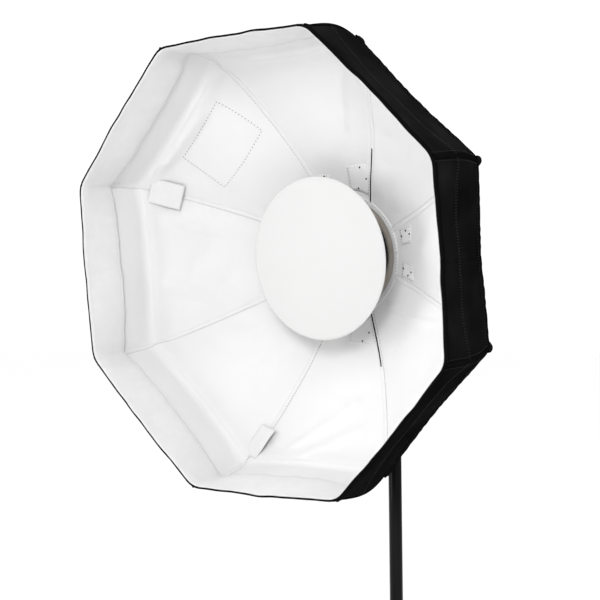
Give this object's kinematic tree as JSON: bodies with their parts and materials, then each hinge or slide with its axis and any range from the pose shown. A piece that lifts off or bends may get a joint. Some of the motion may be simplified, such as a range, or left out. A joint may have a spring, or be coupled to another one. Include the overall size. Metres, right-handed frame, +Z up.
{
  "type": "studio softbox",
  "caption": "Octagonal white-lined fabric softbox with a central deflector disc, on a rotating speed ring, a tilting bracket and a low folding stand.",
  "frame": {"origin": "on the floor, under the middle of the bounding box", "axes": "+Z up; the softbox's open front faces -Y and 5.3 degrees down; +X to the right of someone who looks into the front"},
  "size_m": [0.7648, 0.6822, 1.1393],
  "materials": {
    "white_cloth": "white satin nylon lining, faint sheen, soft creases",
    "black_cloth": "black coated woven nylon, matt with a faint sheen",
    "white_disc": "smooth matt white powder coat",
    "cast_aluminium": "satin cast aluminium with a warm tint",
    "black_metal": "satin black powder coat",
    "black_plastic": "fine-grained moulded black nylon",
    "steel": "drawn bright steel",
    "rubber": "matt black rubber"
  },
  "bodies": {
    "base": {"base_hub": "black_metal", "column": "black_metal", "column_collar": "black_plastic", "leg_front": "black_metal", "foot_front": "rubber", "leg_pin_right": "steel", "leg_pin_left": "steel"},
    "leg_right": {"leg_right": "black_metal", "foot_right": "rubber"},
    "leg_left": {"leg_left": "black_metal", "foot_left": "rubber"},
    "hub_knob": {"hub_knob": "black_plastic"},
    "collar_knob": {"collar_knob": "black_plastic"},
    "riser": {"riser": "black_metal", "stud": "steel"},
    "head": {"tilt_head": "black_metal"},
    "receiver_knob": {"receiver_knob": "black_plastic"},
    "bracket": {"ring_adapter": "black_metal", "tilt_bracket": "black_metal", "tilt_bolt": "steel"},
    "tilt_lever": {"tilt_lever": "black_plastic"},
    "ring_lock_knob": {"ring_lock_knob": "black_plastic"},
    "shell": {"speed_ring": "cast_aluminium", "rib_1": "steel", "rib_2": "steel", "rib_3": "steel", "rib_4": "steel", "rib_5": "steel", "rib_6": "steel", "rib_7": "steel", "rib_8": "steel", "rib_cap_1": "black_plastic", "rib_cap_2": "black_plastic", "rib_cap_3": "black_plastic", "rib_cap_4": "black_plastic", "rib_cap_5": "black_plastic", "rib_cap_6": "black_plastic", "rib_cap_7": "black_plastic", "rib_cap_8": "black_plastic", "back_panel_1": "black_cloth", "back_panel_2": "black_cloth", "back_panel_3": "black_cloth", "back_panel_4": "black_cloth", "back_panel_5": "black_cloth", "back_panel_6": "black_cloth", "back_panel_7": "black_cloth", "back_panel_8": "black_cloth", "side_wall": "black_cloth", "front_band": "white_cloth", "rim_binding": "black_cloth", "seam_tag": "white_cloth", "side_tag": "white_cloth", "deflector_rod_1": "steel", "deflector_rod_2": "steel", "deflector_rod_3": "steel"},
    "deflector": {"deflector_disc": "white_disc", "deflector_spider": "black_metal"},
    "deflector_screw_1": {"deflector_screw_1": "black_plastic"},
    "deflector_screw_2": {"deflector_screw_2": "black_plastic"},
    "deflector_screw_3": {"deflector_screw_3": "black_plastic"}
  },
  "joints": [
    {"name": "leg_right_swing", "type": "hinge", "parent": "base", "child": "leg_right", "pos_m": [0.03811, 0.15113, 0.029], "axis": [0, 0, 1], "range_deg": [-120, 0]},
    {"name": "leg_left_swing", "type": "hinge", "parent": "base", "child": "leg_left", "pos_m": [-0.03811, 0.15113, 0.029], "axis": [0, 0, 1], "range_deg": [0, 120]},
    {"name": "riser_height", "type": "slide", "parent": "base", "child": "riser", "axis": [0, 0, 1], "range_m": [-0.08, 0.11]},
    {"name": "pan", "type": "hinge", "parent": "riser", "child": "head", "pos_m": [0, 0.12913, 0.606], "axis": [0, 0, 1], "continuous": true},
    {"name": "tilt", "type": "hinge", "parent": "head", "child": "bracket", "pos_m": [0, 0.12913, 0.66], "axis": [1, 0, 0], "range_deg": [-95, 30]},
    {"name": "ring_turn", "type": "hinge", "parent": "bracket", "child": "shell", "pos_m": [0, -0.00311, 0.78633], "axis": [0, 0.9957, 0.0924], "continuous": true},
    {"name": "deflector_depth", "type": "slide", "parent": "shell", "child": "deflector", "axis": [0, 0.9957, 0.0924], "range_m": [-0.015, 0.022]},
    {"name": "tilt_lever_turn", "type": "hinge", "parent": "bracket", "child": "tilt_lever", "pos_m": [0.028, 0.12913, 0.66], "axis": [1, 0, 0], "range_deg": [-90, 60]},
    {"name": "ring_lock_turn", "type": "hinge", "parent": "bracket", "child": "ring_lock_knob", "pos_m": [-0.046, 0.00447, 0.86704], "axis": [0, 0.9957, 0.0924], "range_deg": [0, 270]},
    {"name": "receiver_knob_turn", "type": "hinge", "parent": "head", "child": "receiver_knob", "pos_m": [0, 0.13788, 0.606], "axis": [0, 1, 0], "range_deg": [0, 270]},
    {"name": "collar_knob_turn", "type": "hinge", "parent": "base", "child": "collar_knob", "pos_m": [0, 0.13973, 0.454], "axis": [0, 1, 0], "range_deg": [0, 270]},
    {"name": "hub_knob_turn", "type": "hinge", "parent": "base", "child": "hub_knob", "pos_m": [0, 0.14223, 0.068], "axis": [0, 1, 0], "range_deg": [0, 270]},
    {"name": "deflector_screw_1_turn", "type": "hinge", "parent": "deflector", "child": "deflector_screw_1", "pos_m": [0.0448, -0.06305, 0.85869], "axis": [0.5, -0.08, 0.8623], "range_deg": [0, 270]},
    {"name": "deflector_screw_2_turn", "type": "hinge", "parent": "deflector", "child": "deflector_screw_2", "pos_m": [-0.0896, -0.05588, 0.78143], "axis": [-1, 0, 0], "range_deg": [0, 270]},
    {"name": "deflector_screw_3_turn", "type": "hinge", "parent": "deflector", "child": "deflector_screw_3", "pos_m": [0.0448, -0.04871, 0.70417], "axis": [0.5, 0.08, -0.8623], "range_deg": [0, 270]}
  ]
}
